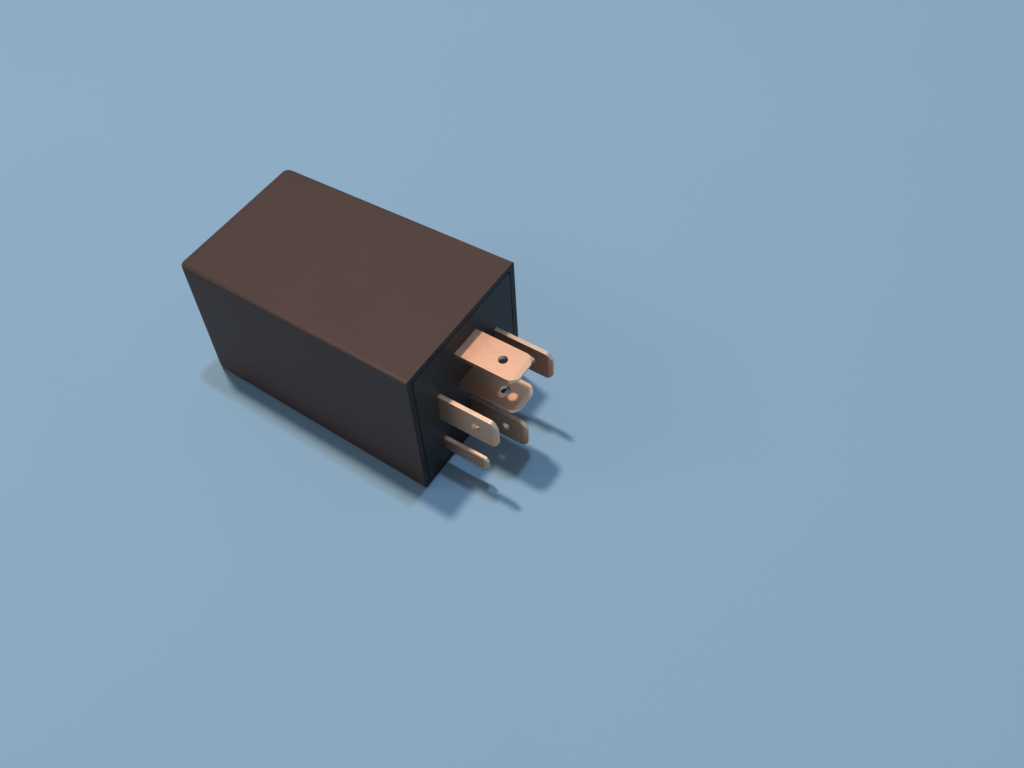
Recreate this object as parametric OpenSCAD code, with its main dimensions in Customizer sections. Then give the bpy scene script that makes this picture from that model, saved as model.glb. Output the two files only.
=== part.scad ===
// Plug-in automotive changeover relay with a built-in timer board.
// The origin is the centre of the base's outer face. X runs out along the blades,
// Y across the case, and Z is up as the relay lies on one of its sides.

/* [Case] */
// Width of the case at its open end
case_w = 30.25; // [30:0.25:40]
// Height of the case at its open end
case_h = 30.25; // [30:0.25:40]
// Length of the case, without the blades
case_l = 50; // [49:1:70]
// Wall of the cover
wall = 1.2; // [1:0.1:1.4]
// Draft of the cover's four sides, in degrees
draft = 0.85; // [0.3:0.05:1]
// Radius of the cover's long edges at the open end
edge_r = 0.5; // [0.3:0.1:1]
// Radius of the edges round the closed end
end_r = 2; // [0.6:0.1:2.5]
// Radius of the cover's long edges where they reach the closed end
long_r = 1.2; // [0.5:0.1:2]
// Thickness of the base plate
base_t = 3; // [2.8:0.1:4]
// Gap all round between the base plate and the cover
base_gap = 0.2; // [0.1:0.05:0.3]

/* [Terminals] */
// Width of the five main blades
blade_w = 6.3; // [4.8:0.1:6.8]
// Width of the signal blade
signal_w = 2.8; // [2:0.1:3.4]
// Sheet that all terminals are stamped from
sheet_t = 0.8; // [0.6:0.05:0.9]
// How far the main blades stand out of the base
blade_l = 11.8; // [9:0.1:14]
// How far the signal blade stands out of the base
signal_l = 9.2; // [7:0.1:11]
// Distance of the blades' latch holes from the base
latch_x = 7.5; // [5:0.1:7.8]
// Diameter of the latch holes
latch_d = 1.7; // [1.2:0.1:2]
// Spacing of blades 85 and 86
coil_pitch = 16.8; // [16:0.1:17.4]
// Distance of blade 87 from the middle row
top_pitch = 8; // [7.8:0.1:8.4]
// Distance of blade 30 from the middle row
low_pitch = 9.9; // [9.6:0.1:10.4]
// Height of the middle row above the centre of the base
row_z = 1.3; // [1:0.1:1.6]

/* [Magnet] */
// Side of the bobbin's square flanges
bobbin_w = 14; // [12:0.1:14]
// Length of the bobbin
bobbin_l = 17.5; // [15:0.5:19]
// How far the winding stays below the edge of the flanges
winding_inset = 0.7; // [0.5:0.1:2.5]
// Diameter of the core
core_d = 5.5; // [4:0.1:6]
// Diameter of the core's pole face
pole_d = 8; // [6:0.1:9]
// Thickness of the yoke's sheet
yoke_t = 1.5; // [1.2:0.1:1.6]
// Thickness of the armature
arm_t = 1.3; // [1:0.1:1.5]
// Thickness of the contact spring
leaf_t = 0.25; // [0.15:0.05:0.35]
// Angle that the armature swings through, in degrees
travel = 3.2; // [2:0.1:4]

/* [Board] */
// Thickness of the circuit board
board_t = 1.6; // [1:0.1:1.8]
// Space left behind the board for its soldered leads
board_back = 1.45; // [1.2:0.05:1.8]
// Diameter of the electrolytic capacitor
can_d = 8; // [5:0.5:8]
// Height of the electrolytic capacitor
can_h = 11.5; // [7:0.5:14]
// Number of small resistors in the row beside the coil
resistor_count = 5; // [1:1:5]

/* [Hidden] */

$fn = 48;
far = 100;
plastic = [0.12, 0.10, 0.09];
tinned = [0.84, 0.62, 0.47];
steel = [0.66, 0.68, 0.70];
silver = [0.86, 0.86, 0.84];
lead_wire = [0.78, 0.78, 0.76];

// Shapes that cut stand out by this much, and shapes that join run into each other
over = 1;
lap = 0.1;
thin_fn = 24;

// Case: the cavity follows the outside, one wall in
skin_t = 0.1;
end_steps = 6;
cavity_r = 0.3;
base_r = 0.6;
inner_l = case_l - wall;
inner_w = case_w - 2 * wall;
inner_h = case_h - 2 * wall;
deep_w = inner_w - 2 * inner_l * tan(draft);
deep_h = inner_h - 2 * inner_l * tan(draft);
base_w = inner_w - 2 * base_gap;
base_h = inner_h - 2 * base_gap;
slot_gap = 0.05;

// Snap ridges in the cover, their grooves round the base, and ribs that stop the base
ridge_x = -base_t / 2 - 0.1;
ridge_l = 8;
ridge_root = 0.6;
ridge_crest = 0.15;
ridge_h = base_gap + 0.35;
groove_deep = 0.6;
groove_half = 0.7;
groove_gap = 0.4;
rib_gap = 0.05;
rib_t = 1;
rib_y = 9.6;
rib_h = 1;
rib_flat = 2;
rib_l = 6;

// Terminal places in the plane of the base. A tail is [height, width] where it meets the
// board, and plate_r is how far a terminal's plate reaches round its fixed contact.
row_y = 0.1;
y_85 = row_y - coil_pitch / 2;
y_86 = row_y + coil_pitch / 2;
z_87 = row_z + top_pitch;
z_30 = row_z - low_pitch;
z_signal = row_z - 10.3;
tip_cut = 1.1;
tip_r = 1.3;
signal_cut = 0.5;
signal_r = 0.6;
coin_l = 0.8;
fold_r = 0.4;
tail_85 = [row_z + 2, 2.2];
tail_signal = [z_signal, 1.4];
arm_87_w = 5;
plate_r = 2.1;

// Magnet, stacked from the base inwards
standoff = 3;
foot_x = -base_t - standoff;
flange_t = 1;
bobbin_x0 = foot_x - yoke_t - 0.2;
bobbin_x1 = bobbin_x0 - bobbin_l;
pole_t = 1.1;
pole_gap = 0.05;
pole_cut = 0.2;
pole_x = bobbin_x1 - pole_gap - pole_t;
coil_z = -1.6;
core_gap = 0.2;
flange_r = 1;
barrel_d = core_d + 1.7;
winding_d = bobbin_w - 2 * winding_inset;
winding_gap = 0.05;
end_angle = 43;
end_deep = 0.4;
yoke_w = bobbin_w;
leg_z = coil_z - bobbin_w / 2 - 0.3 - yoke_t;
foot_top = coil_z + 6;
rivet_d = core_d - 1.3;
yoke_r = 0.5;
ear_out = 0.9;
ear_gap = 0.2;
stake_w = 2.4;
stake_z = leg_z + yoke_t + 0.4 + stake_w / 2;
stake_out = 0.1;

// Studs that are coined over the contact spring
stud_d = 1.6;
stud_root = 0.5;
stud_head = 0.4;
stud_play = 0.03;
stud_gap = 0.1;

// Blocks on the base that carry the yoke's foot, and cheeks that hold its sides
block_y = [1.6, yoke_w / 2 - 0.6];
block_z = [leg_z + 2, row_z - 2.2];
high_block_y = [row_y - 5.6, row_y - 1];
high_block_z = [row_z + 1.2, foot_top - 0.2];
cheek_y = [yoke_w / 2 + 0.15, yoke_w / 2 + 1.15];
cheek_z = [row_z - 8, row_z - 3.7];
cheek_l = 1.5;

// Armature: drawn closed on the pole, then swung open about the yoke's outer edge
arm_gap = 0.05;
hinge_x = pole_x - arm_gap;
hinge_z = leg_z;
arm_back = hinge_x - arm_t;
contact_z = z_87 - 2.6;
arm_top = contact_z - 2.5;
arm_w = 12;
arm_tip_w = 6.8;
taper_z = coil_z + 2.5;
neck_w = 10.4;
neck_z = hinge_z + 2.2;
shoulder_z = hinge_z + 3;

// Contacts. The moving one clears each fixed one by touch_gap at that end of the travel.
dome_h = 0.6;
dome_r = 6;
button_d = 3;
shank_d = 1.8;
touch_gap = 0.03;
fixed_h = 0.7;
fixed_d = 3.4;
fixed_cut = 0.2;
rivet_head_d = 2.4;
rivet_head_h = 0.25;
leaf_gap = 0.02;
leaf_back = arm_back - leaf_gap;
open_face = leaf_back + dome_h + touch_gap;
open_x = open_face + fixed_h;
back_apex = leaf_back - leaf_t - dome_h;
closed_face = hinge_x + (back_apex - hinge_x) * cos(travel)
              - (contact_z - hinge_z) * sin(travel) - touch_gap;
closed_x = closed_face - fixed_h;
closed_z = hinge_z + (contact_z - hinge_z) * cos(travel) + (back_apex - hinge_x) * sin(travel);

// Contact spring: its bend clears the armature's round corner, and touches both the
// line of its foot and the line of its arm, which leans back while the armature is open
corner_r = arm_t + 0.15;
bend_r = corner_r - 0.03;
leaf_w = 9;
leaf_foot = 9;
bend_z = hinge_z - leaf_gap + bend_r;
bend_x = hinge_x + (leaf_back - hinge_x + bend_r - (bend_z - hinge_z) * sin(travel))
       / cos(travel);
leaf_end = contact_z + 2;
window_w = 3.4;
window_z = bend_z + 0.6;
window_x = hinge_x + 1.6;
yoke_stud_x = [pole_x + 4.6, pole_x + 7.6];
arm_stud_z = [coil_z - 3.2, coil_z + 2.2];

// Side view of the spring: foot under the yoke, bend round the hinge, arm up to the contact
spring_side = concat(
    [[hinge_x + leaf_foot, hinge_z - leaf_gap]],
    arc([bend_x, bend_z], bend_r, 270, 180 + travel),
    [swung(leaf_back, leaf_end), swung(leaf_back - leaf_t, leaf_end)],
    arc([bend_x, bend_z], bend_r + leaf_t, 180 + travel, 270),
    [[hinge_x + leaf_foot, hinge_z - leaf_gap - leaf_t]]);

// Front view of one edge of the spring, which narrows to the contact
spring_edge = [[leaf_w / 2, hinge_z - 5], [leaf_w / 2, coil_z + 2], [2.4, contact_z - 1.6],
               [2.4, contact_z + 1.2], [1.6, contact_z + 3]];

// Board: upright along the cover's left side
board_y0 = -deep_w / 2 + board_back;
board_y1 = board_y0 + board_t;
board_x0 = -base_t - 1.6;
board_x1 = -inner_l + 1;
board_h = deep_h - 1.7;
lead_y = board_y0 - 0.5;
lead_d = 0.6;
drill_d = 0.8;
board_play = 0.1;
guide_t = 1;
rail_bite = 0.7;
ear_l = 2.4;
ear_z = [board_h / 2 - 2.2, board_h / 2 - 0.4];
rail_x = board_x0 - ear_l - 0.2;

// Riser of terminal 87a, past the coil on the right
riser_y0 = bobbin_w / 2 + 2.3;
riser_y1 = riser_y0 + 3;
strap_x0 = -base_t - 0.3;
strap_x1 = foot_x + 0.4;

// Coil pins and the supply link, which share terminal 86's flag
pin_x = bobbin_x0 - flange_t;
pin_z = coil_z + bobbin_w / 2 + 1.2;
link_x = bobbin_x0 + 1.1;
pin_d = 0.7;
pin_gap = 0.1;
pin_grip = 2.5;
pin_out = 0.5;
pin_margin = 1.1;
flag_z = row_z + 1.4;
horn_w = 3.5;
wire_d = 0.25;
wire_ball = 0.06;
wire_x = bobbin_x0 - 2 * flange_t - 0.3;
wire_drop = 1;
wrap_y = bobbin_w / 2 + 0.55;
wrap_gap = 0.02;
tab_x = foot_x;

// Parts on the board: [x, z] of each
chip_at = [closed_x - 7.2, -3];
can_at = [closed_x - 8.5, 7];
film_at = [closed_x - 8, -9.4];
transistor_at = [closed_x - 14.6, -3];
disc_at = [[closed_x - 2.6, 7], [closed_x - 14.6, 4]];
resistor_x = bobbin_x0 - 4.2;
resistor_step = 3.2;
resistor_pitch = 10.16;
power_at = [bobbin_x0 - 9.3, 9.2];
power_pitch = 12.7;
zener_at = [bobbin_x0 - 9.3, -9.2];
zener_pitch = 7.62;
diode_at = [pole_x - 2.2, 0];

// Sizes of the parts on the board
chip_size = [9.6, 6.4, 3.3];
chip_pitch = 2.54;
chip_row = 7.62;
chip_leg_w = 1.4;
chip_leg_t = 0.3;
chip_leg_z = 1.6;
chip_tip_w = 0.5;
chip_mark_d = 1.8;
chip_mark_deep = 0.5;
rest_h = 0.3;
lead_in = 0.3;
can_pitch = 3.5;
can_edge = 0.3;
crimp_z = 1.7;
crimp_deep = 0.35;
crimp_w = 0.4;
can_rim = 0.4;
can_dish = 0.2;
film_size = [7.2, 2.6, 6.4];
film_pitch = 5.08;
disc_pitch = 3.5;
disc_d = 5;
disc_t = 2;
disc_flat = 3.6;
disc_edge = 0.8;
disc_z = 3.4;
small_body = [2.3, 6.3];
power_body = [3.4, 9];
diode_body = [2.7, 5.2];
zener_body = [1.9, 4];
transistor_d = 4.8;
transistor_h = 4.6;
transistor_flat = -1.2;
transistor_z = 1.2;
transistor_pitch = 1.27;

// ---- points ----

// Where a point drawn with the armature closed lies while it is open
function swung(x, z) =
    [hinge_x + (x - hinge_x) * cos(travel) - (z - hinge_z) * sin(travel),
     hinge_z + (x - hinge_x) * sin(travel) + (z - hinge_z) * cos(travel)];

// Points round an arc, from angle a0 to a1
function arc(c, r, a0, a1, n = 12) =
    [for (i = [0:n]) c + r * [cos(a0 + (a1 - a0) * i / n), sin(a0 + (a1 - a0) * i / n)]];

// An outline made of one edge and its mirror image: flip is -1 on the axis that turns over
function mirrored(edge, flip) =
    concat(edge, [for (i = [len(edge) - 1:-1:0]) [flip[0] * edge[i][0], flip[1] * edge[i][1]]]);

// ---- extrusions along each axis ----

module along_x(x0, x1)
    translate([x0, 0, 0])
        rotate([90, 0, 90])
            linear_extrude(x1 - x0)
                children();

module along_y(y0, y1)
    translate([0, y1, 0])
        rotate([90, 0, 0])
            linear_extrude(y1 - y0)
                children();

module along_z(z0, z1)
    translate([0, 0, z0])
        linear_extrude(z1 - z0)
            children();

// An upright rectangle between two corners
module patch(a, b)
    polygon([a, [b[0], a[1]], b, [a[0], b[1]]]);

// A rectangle with round corners, centred
module rounded(w, h, r) {
    square([w - 2 * r, h], center = true);
    square([w, h - 2 * r], center = true);
    for (sx = [-1, 1], sy = [-1, 1])
        translate([sx * (w / 2 - r), sy * (h / 2 - r)])
            circle(r);
}

// A quarter or less of a ring of sheet, from angle 0 round to the angle given
module bend(r, t, angle = 90)
    intersection() {
        difference() {
            circle(r + t);
            circle(r);
        }
        polygon([[0, 0], [far, 0], [far, far * tan(angle / 2)],
                 [far * cos(angle), far * sin(angle)]]);
    }

// ---- housing ----

// One section across the case, whose corners have radius r
module section(x, w, h, r)
    along_x(x, x + skin_t)
        rounded(w, h, r, $fn = 32);

// A block from x = 0 that narrows towards its closed end. The end's own edges have radius
// end, and the long edges go from radius open_r to radius far_r.
module drafted(w, h, l, open_r, far_r, end)
    hull() {
        section(-skin_t, w, h, open_r);
        for (k = [0:end_steps]) {
            curl = end * (1 - cos(90 * k / end_steps));
            x = end * (1 - sin(90 * k / end_steps)) - l;
            inset = 2 * (curl - x * tan(draft));
            section(x, w - inset, h - inset, max(far_r - curl, lap));
        }
    }

module cavity()
    translate([lap, 0, 0])
        drafted(inner_w, inner_h, inner_l + lap, cavity_r, max(long_r - wall, cavity_r),
                max(end_r - wall, cavity_r));

// The small ridge that snaps into the base plate's groove
module snap_ridge(half)
    along_y(-ridge_l / 2, ridge_l / 2)
        translate([ridge_x, half + lap])
            polygon([[-ridge_root, 0], [ridge_root, 0], [ridge_crest, -ridge_h - lap],
                     [-ridge_crest, -ridge_h - lap]]);

// Two rails on the top and bottom walls that the board slides between
module board_rails()
    for (y0 = [board_y0 - board_play - guide_t, board_y1 + board_play])
        along_x(-inner_l - lap, rail_x)
            for (s = [-1, 1])
                patch([y0, s * (board_h / 2 - rail_bite)], [y0 + guide_t, s * case_h / 2]);

// Short ribs that stop the base plate from being pushed in
module stop_ribs(half)
    for (s = [-1, 1])
        along_y(s * rib_y - rib_t / 2, s * rib_y + rib_t / 2)
            translate([-base_t, half])
                polygon([[-rib_gap, lap], [-rib_gap, -rib_h], [-rib_flat, -rib_h],
                         [-rib_l, lap]]);

// The cavity leaves standing what the walls carry inside
module cover()
    color(plastic)
        difference() {
            drafted(case_w, case_h, case_l, edge_r, long_r, end_r);
            difference() {
                cavity();
                for (k = [0:3])
                    rotate([90 * k, 0, 0]) {
                        half = (k % 2 == 0 ? inner_h : inner_w) / 2;
                        snap_ridge(half);
                        if (k != 1)
                            stop_ribs(half);
                    }
                board_rails();
            }
        }

// A slot for a blade, w wide, centred where the blade is
module slot(w)
    square([sheet_t + 2 * slot_gap, w + 2 * slot_gap], center = true);

// Every blade's slot, as an outline in the plane of the base
module slots() {
    for (z = [z_87, row_z])
        translate([row_y, z])
            rotate(90)
                slot(blade_w);
    translate([row_y, z_30])
        slot(blade_w);
    for (y = [y_85, y_86])
        translate([y, row_z])
            slot(blade_w);
    translate([y_85, z_signal])
        slot(signal_w);
}

// Blocks on the inside of the base that carry the yoke's foot
module pedestals()
    along_x(foot_x, -base_t + lap) {
        for (s = [-1, 1])
            patch([s * block_y[0], block_z[0]], [s * block_y[1], block_z[1]]);
        patch([high_block_y[0], high_block_z[0]], [high_block_y[1], high_block_z[1]]);
    }

// Cheeks that hold the yoke from both sides
module cheeks()
    for (s = [-1, 1])
        along_x(foot_x - yoke_t - cheek_l, -base_t + lap)
            patch([s * cheek_y[0], cheek_z[0]], [s * cheek_y[1], cheek_z[1]]);

// Ears that grip the board's end by its two corners
module board_ears()
    for (y0 = [board_y0 - board_play - guide_t, board_y1 + board_play], s = [-1, 1])
        along_x(board_x0 - ear_l, -base_t + lap)
            patch([y0, s * ear_z[0]], [y0 + guide_t, s * ear_z[1]]);

module base()
    color(plastic)
        difference() {
            union() {
                along_x(-base_t, 0)
                    rounded(base_w, base_h, base_r);
                pedestals();
                cheeks();
                board_ears();
            }
            along_x(-far, over)
                slots();
            for (k = [0:3])
                rotate([90 * k, 0, 0]) {
                    half = (k % 2 == 0 ? base_h : base_w) / 2;
                    along_y(-ridge_l / 2 - groove_gap, ridge_l / 2 + groove_gap)
                        patch([ridge_x - groove_half, half - groove_deep],
                              [ridge_x + groove_half, half + over]);
                }
        }

// ---- terminals ----

// A flat blade in the plane of X and Y. The corners of its tip are cut and softened with
// radius r, and the tip is coined to half the sheet's thickness.
module blade(w, l, root, corner, r) {
    soft = r * tan(22.5);
    edge = concat([[-root, w / 2]], arc([l - corner - soft, w / 2 - r], r, 90, 45, 4),
                  arc([l - r, w / 2 - corner - soft], r, 45, 0, 4));
    side = [[-root, sheet_t / 2], [l - coin_l, sheet_t / 2], [l, sheet_t / 4]];
    intersection() {
        along_z(-sheet_t, sheet_t)
            polygon(mirrored(edge, [1, -1]));
        along_y(-w, w)
            polygon(mirrored(side, [1, -1]));
    }
}

// A main blade with its latch hole
module main_blade(root)
    difference() {
        blade(blade_w, blade_l, root, tip_cut, tip_r);
        translate([latch_x, 0, -sheet_t])
            cylinder(d = latch_d, h = 2 * sheet_t);
    }

// Sheet standing in the plane of X and Z at the y given
module upright(y)
    along_y(y - sheet_t / 2, y + sheet_t / 2)
        children();

module terminal_30()
    color(tinned) {
        translate([0, row_y, z_30])
            rotate([90, 0, 0])
                main_blade(-foot_x);
        upright(row_y)
            patch([foot_x - yoke_t - stake_out, stake_z - stake_w / 2],
                  [foot_x + over, stake_z + stake_w / 2]);
    }

// A tail that runs in from a blade at the y given, folds towards the board and passes
// through it: tail is its height above the base's centre and its width
module board_tail(y, tail)
    along_z(tail[0] - tail[1] / 2, tail[0] + tail[1] / 2) {
        patch([tab_x + fold_r, y - sheet_t / 2], [-base_t + over, y + sheet_t / 2]);
        translate([tab_x + fold_r, y - sheet_t / 2 - fold_r])
            rotate(90)
                bend(fold_r, sheet_t);
        patch([tab_x - sheet_t, lead_y], [tab_x, y - sheet_t / 2 - fold_r]);
    }

module terminal_85()
    color(tinned) {
        translate([0, y_85, row_z])
            rotate([90, 0, 0])
                main_blade(base_t - lap);
        board_tail(y_85, tail_85);
    }

module signal_terminal()
    color(tinned) {
        translate([0, y_85, z_signal])
            rotate([90, 0, 0])
                blade(signal_w, signal_l, base_t - lap, signal_cut, signal_r);
        board_tail(y_85, tail_signal);
    }

module terminal_86()
    color(tinned) {
        translate([0, y_86, row_z])
            rotate([90, 0, 0])
                main_blade(base_t - lap);
        difference() {
            upright(y_86) {
                patch([pin_x - pin_margin, flag_z], [-base_t + over, row_z + blade_w / 2]);
                patch([pin_x - pin_margin, flag_z], [link_x + pin_margin, pin_z + pin_margin]);
            }
            for (x = [pin_x, link_x])
                translate([x, y_86, pin_z])
                    rotate([90, 0, 0])
                        cylinder(d = pin_d + pin_gap, h = 2 * sheet_t, center = true);
        }
    }

// The upright plate behind a fixed contact runs from the fold up or down to the contact
module terminal_87()
    color(tinned) {
        translate([0, row_y, z_87])
            main_blade(base_t);
        difference() {
            along_y(row_y - arm_87_w / 2, row_y + arm_87_w / 2) {
                patch([open_x + sheet_t + fold_r, z_87 - sheet_t / 2],
                      [-base_t + over, z_87 + sheet_t / 2]);
                translate([open_x + sheet_t + fold_r, z_87 - sheet_t / 2 - fold_r])
                    rotate(90)
                        bend(fold_r, sheet_t);
                patch([open_x, contact_z - plate_r],
                      [open_x + sheet_t, z_87 - sheet_t / 2 - fold_r]);
            }
            rivet_hole(open_x, contact_z);
        }
    }

// The hole that a contact's shank fills
module rivet_hole(x, z)
    translate([x, 0, z])
        rotate([0, 90, 0])
            cylinder(d = shank_d, h = 4 * over, center = true);

module terminal_87a()
    color(tinned) {
        translate([0, row_y, row_z])
            main_blade(-strap_x0);
        along_z(row_z - sheet_t / 2, row_z + sheet_t / 2)
            patch([strap_x0 + lap, row_y - blade_w / 2], [strap_x1, riser_y1]);
        along_y(riser_y0, riser_y1) {
            patch([closed_x + fold_r, row_z - sheet_t / 2], [strap_x1 + lap, row_z + sheet_t / 2]);
            translate([closed_x + fold_r, row_z + sheet_t / 2 + fold_r])
                rotate(180)
                    bend(fold_r, sheet_t);
            patch([closed_x - sheet_t, row_z + sheet_t / 2 + fold_r],
                  [closed_x, closed_z + plate_r]);
        }
        difference() {
            along_x(closed_x - sheet_t, closed_x)
                patch([-plate_r, closed_z - plate_r], [riser_y0 + lap, closed_z + plate_r]);
            rivet_hole(closed_x, closed_z);
        }
    }

// ---- magnet ----

// A stud whose head, h above its face, is coined over the contact spring
module stud(h)
    rotate_extrude()
        polygon([[0, -stud_root], [stud_d / 2, -stud_root], [stud_d / 2, h],
                 [stud_d / 2 + stud_head, h], [stud_d / 2 + stud_head, h + stud_head / 2],
                 [stud_d / 2 + stud_head / 2, h + stud_head], [0, h + stud_head]]);

module yoke()
    color(steel) {
        difference() {
            along_y(-yoke_w / 2, yoke_w / 2) {
                translate([foot_x - yoke_t - yoke_r, leg_z + yoke_t + yoke_r])
                    rotate(270)
                        bend(yoke_r, yoke_t);
                patch([foot_x - yoke_t, leg_z + yoke_t + yoke_r], [foot_x, foot_top]);
                patch([pole_x, leg_z], [foot_x - yoke_t - yoke_r, leg_z + yoke_t]);
            }
            translate([foot_x - yoke_t - over, 0, coil_z])
                rotate([0, 90, 0])
                    cylinder(d = rivet_d, h = yoke_t + 2 * over);
            along_x(foot_x - yoke_t - over, foot_x + over)
                translate([row_y, stake_z])
                    slot(stake_w);
        }
        for (s = [-1, 1])
            along_z(leg_z, leg_z + yoke_t)
                patch([pole_x - ear_out, s * (neck_w / 2 + ear_gap)],
                      [pole_x + over, s * yoke_w / 2]);
        for (x = yoke_stud_x)
            translate([x, 0, leg_z])
                rotate([180, 0, 0])
                    stud(leaf_gap + leaf_t + stud_play);
    }

module core()
    color(steel) {
        pole_back = foot_x - bobbin_x1 + pole_gap;
        pole_face = foot_x - pole_x;
        translate([foot_x, 0, coil_z])
            rotate([0, -90, 0])
                rotate_extrude()
                    polygon([[0, 0], [rivet_d / 2, 0], [rivet_d / 2, yoke_t], [core_d / 2, yoke_t],
                             [core_d / 2, pole_back], [pole_d / 2, pole_back],
                             [pole_d / 2, pole_face - pole_cut],
                             [pole_d / 2 - pole_cut, pole_face], [0, pole_face]]);
    }

module bobbin()
    color([0.82, 0.80, 0.72])
        difference() {
            union() {
                for (x = [bobbin_x0 - flange_t, bobbin_x1])
                    along_x(x, x + flange_t)
                        translate([0, coil_z])
                            rounded(bobbin_w, bobbin_w, flange_r);
                along_x(bobbin_x1, bobbin_x0)
                    translate([0, coil_z])
                        circle(d = barrel_d);
                for (s = [-1, 1])
                    along_x(bobbin_x0 - 2 * flange_t, bobbin_x0)
                        patch([s * (bobbin_w / 2 - horn_w), coil_z + bobbin_w / 2 - over],
                              [s * bobbin_w / 2, pin_z + pin_margin]);
            }
            along_x(bobbin_x1 - over, bobbin_x0 + over)
                translate([0, coil_z])
                    circle(d = core_d + core_gap);
            for (s = [-1, 1])
                translate([pin_x, s * bobbin_w / 2, pin_z])
                    rotate([90, 0, 0])
                        cylinder(d = pin_d, h = 2 * pin_grip, center = true);
        }

// The winding, with the two ends of its wire led to the pins
module coil_winding()
    color([0.55, 0.24, 0.12]) {
        along_x(bobbin_x1 + flange_t + winding_gap, bobbin_x0 - flange_t - winding_gap)
            translate([0, coil_z])
                difference() {
                    circle(d = winding_d);
                    circle(d = barrel_d + 2 * winding_gap);
                }
        for (s = [-1, 1]) {
            r = winding_d / 2 - end_deep;
            start = [wire_x, s * r * sin(end_angle), coil_z + r * cos(end_angle)];
            corner = [wire_x, s * wrap_y, pin_z - wire_drop];
            wire(start, corner, wire_d);
            wire(corner, [pin_x, s * wrap_y, pin_z - pin_d / 2 - wire_d / 2], wire_d);
            translate([pin_x, s * wrap_y, pin_z])
                rotate([90, 0, 0])
                    difference() {
                        cylinder(d = pin_d + 2 * wire_d, h = 3 * wire_d, center = true);
                        cylinder(d = pin_d + wrap_gap, h = 4 * wire_d, center = true);
                    }
        }
    }

// Straight round wire with a small ball at its far end
module wire(a, b, d) {
    v = b - a;
    translate(a)
        rotate([0, acos(v[2] / norm(v)), atan2(v[1], v[0])])
            cylinder(d = d, h = norm(v), $fn = thin_fn);
    translate(b)
        sphere(d = d + wire_ball, $fn = thin_fn);
}

module coil_pin(y0, y1)
    color(lead_wire)
        translate([pin_x, y1, pin_z])
            rotate([90, 0, 0])
                cylinder(d = pin_d, h = y1 - y0);

module coil_supply_pin()
    coil_pin(bobbin_w / 2 - pin_grip, y_86 + sheet_t / 2 + pin_out);

module coil_switched_pin()
    coil_pin(lead_y, -bobbin_w / 2 + pin_grip);

// ---- armature ----

// Turns what is drawn with the armature closed to where it rests, open
module swung_open()
    translate([hinge_x, 0, hinge_z])
        rotate([0, -travel, 0])
            translate([-hinge_x, 0, -hinge_z])
                children();

module armature()
    color(steel)
        swung_open() {
            edge = [[neck_w / 2, hinge_z], [neck_w / 2, neck_z], [arm_w / 2, shoulder_z],
                    [arm_w / 2, taper_z], [arm_tip_w / 2, arm_top]];
            intersection() {
                along_x(arm_back, hinge_x)
                    polygon(mirrored(edge, [-1, 1]));
                along_y(-arm_w, arm_w)
                    difference() {
                        patch([arm_back, hinge_z], [hinge_x, arm_top + over]);
                        translate([arm_back + corner_r, hinge_z + corner_r])
                            rotate(180)
                                bend(corner_r, over);
                    }
            }
            for (z = arm_stud_z)
                translate([arm_back, 0, z])
                    rotate([0, -90, 0])
                        stud(leaf_gap + leaf_t + stud_play);
        }

module contact_spring()
    color([0.80, 0.52, 0.30])
        difference() {
            intersection() {
                along_y(-leaf_w / 2, leaf_w / 2)
                    polygon(spring_side);
                swung_open()
                    along_x(arm_back - far, far)
                        polygon(mirrored(spring_edge, [-1, 1]));
            }
            along_z(hinge_z - 2 * over, window_z)
                patch([arm_back - 3 * over, -window_w / 2], [window_x, window_w / 2]);
            for (x = yoke_stud_x)
                translate([x, 0, hinge_z])
                    cylinder(d = stud_d + stud_gap, h = 4 * over, center = true);
            swung_open() {
                for (z = arm_stud_z)
                    translate([arm_back, 0, z])
                        rotate([0, 90, 0])
                            cylinder(d = stud_d + stud_gap, h = 4 * over, center = true);
                rivet_hole(arm_back, contact_z);
            }
        }

// Half of the moving contact: a low dome on a short shank
module dome(h)
    intersection() {
        cylinder(d = button_d, h = h);
        translate([0, 0, h - dome_r])
            sphere(r = dome_r, $fn = 96);
    }

module moving_contact()
    color(silver)
        swung_open()
            translate([leaf_back - leaf_t, 0, contact_z]) {
                rotate([0, -90, 0])
                    dome(dome_h);
                translate([leaf_t, 0, 0])
                    rotate([0, 90, 0])
                        dome(dome_h);
                rotate([0, 90, 0])
                    cylinder(d = shank_d, h = leaf_t);
            }

// A fixed contact, riveted through the sheet behind its head
module fixed_contact()
    rotate_extrude() {
        back = fixed_h + sheet_t;
        polygon([[0, 0], [fixed_d / 2 - fixed_cut, 0], [fixed_d / 2, fixed_cut],
                 [fixed_d / 2, fixed_h], [shank_d / 2, fixed_h], [shank_d / 2, back],
                 [rivet_head_d / 2, back], [rivet_head_d / 2 - fixed_cut, back + rivet_head_h],
                 [0, back + rivet_head_h]]);
    }

module normally_open_contact()
    color(silver)
        translate([open_face, 0, contact_z])
            rotate([0, 90, 0])
                fixed_contact();

module normally_closed_contact()
    color(silver)
        translate([closed_face, 0, closed_z])
            rotate([0, -90, 0])
                fixed_contact();

// ---- board and its parts ----

// Places a part drawn on the plane z = 0 onto the board's face, at [x, z]
module on_board(at)
    translate([at[0], board_y1, at[1]])
        rotate([-90, 0, 0])
            children();

// A lead from a height above the board down through it
module lead(x, y, h)
    translate([x, y, lead_y - board_y1])
        cylinder(d = lead_d, h = h - lead_y + board_y1, $fn = thin_fn);

// A part lying on the board along X, with a lead bent down at each end: body is its
// diameter and length
module axial(body, pitch) {
    h = body[0] / 2 + lap;
    translate([0, 0, h])
        rotate([0, 90, 0]) {
            cylinder(d = body[0], h = body[1], center = true);
            cylinder(d = lead_d, h = pitch, center = true, $fn = thin_fn);
        }
    for (s = [-1, 1]) {
        lead(s * pitch / 2, 0, h);
        translate([s * pitch / 2, 0, h])
            sphere(d = lead_d, $fn = thin_fn);
    }
}

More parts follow.
